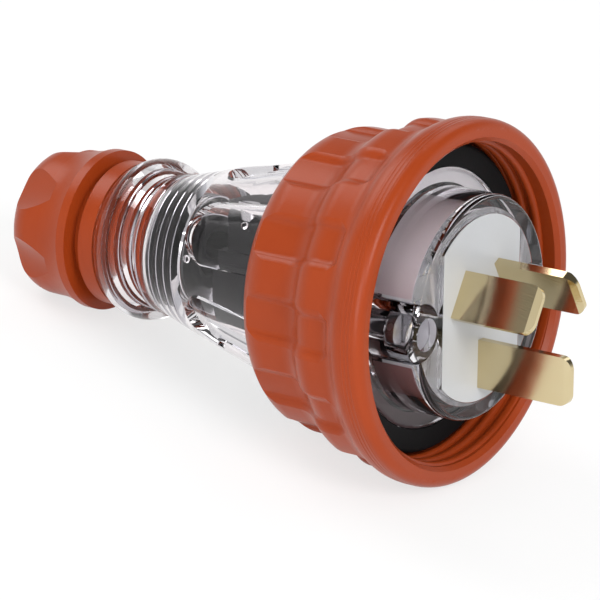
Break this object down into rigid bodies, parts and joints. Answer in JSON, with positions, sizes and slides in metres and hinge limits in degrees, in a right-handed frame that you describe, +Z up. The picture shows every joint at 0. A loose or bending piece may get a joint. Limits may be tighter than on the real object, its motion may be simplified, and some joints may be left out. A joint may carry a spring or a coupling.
{
  "type": "industrial plug",
  "caption": "Straight round industrial plug with flat pins in a clear cup, a lobed orange screw coupling ring, a clear tapered rear body and a lobed cable gland nut.",
  "frame": {"origin": "middle of the underside of the bounding box, on the table that the plug lies on", "axes": "+X along the plug from its gland nut to its pins, +Z up; the plug's own axis rises 12.9 degrees above +X because it rests on its coupling ring and its nut; +Y is to the plug's right seen with the pins towards the viewer and the earth pin lowest"},
  "size_m": [0.1222, 0.068, 0.067],
  "materials": {
    "orange_plastic": "moulded, satin gloss",
    "clear_plastic": "clear polycarbonate, polished",
    "white_plastic": "moulded, smooth",
    "black_plastic": "moulded, fine matt",
    "brass": "rolled and polished",
    "black_rubber": "moulded, soft",
    "screw_steel": "plated",
    "washer_plastic": "smooth"
  },
  "bodies": {
    "shell": {"rear_body": "clear_plastic", "pin_housing": "clear_plastic", "pin_carrier": "white_plastic", "live_pin_left": "brass", "live_pin_right": "brass", "earth_pin": "brass", "terminal_left": "brass", "terminal_right": "brass", "terminal_earth": "brass", "terminal_screws": "screw_steel", "terminal_shroud": "black_plastic", "clamp_bridge": "black_plastic", "clamp_screws": "screw_steel", "housing_screws": "screw_steel", "flange_seal": "black_rubber", "housing_o_ring": "black_rubber", "cable_grommet": "black_rubber"},
    "ring": {"coupling_ring": "orange_plastic"},
    "washer": {"gland_washer": "washer_plastic"},
    "nut": {"gland_nut": "orange_plastic"}
  },
  "joints": [
    {"name": "coupling_ring_spin", "type": "hinge", "parent": "shell", "child": "ring", "pos_m": [0.01931, 0, 0.03042], "axis": [0.9749, 0, 0.2225], "continuous": true},
    {"name": "gland_washer_slide", "type": "slide", "parent": "shell", "child": "washer", "axis": [-0.9749, 0, -0.2225], "range_m": [0, 0.008]},
    {"name": "gland_nut_spin", "type": "hinge", "parent": "washer", "child": "nut", "pos_m": [-0.04893, 0, 0.01485], "axis": [-0.9749, 0, -0.2225], "range_deg": [0, 1440]}
  ],
  "couplings": [
    {"joint": "gland_washer_slide", "follows": "gland_nut_spin", "m_per_rad": 0.00031831}
  ]
}
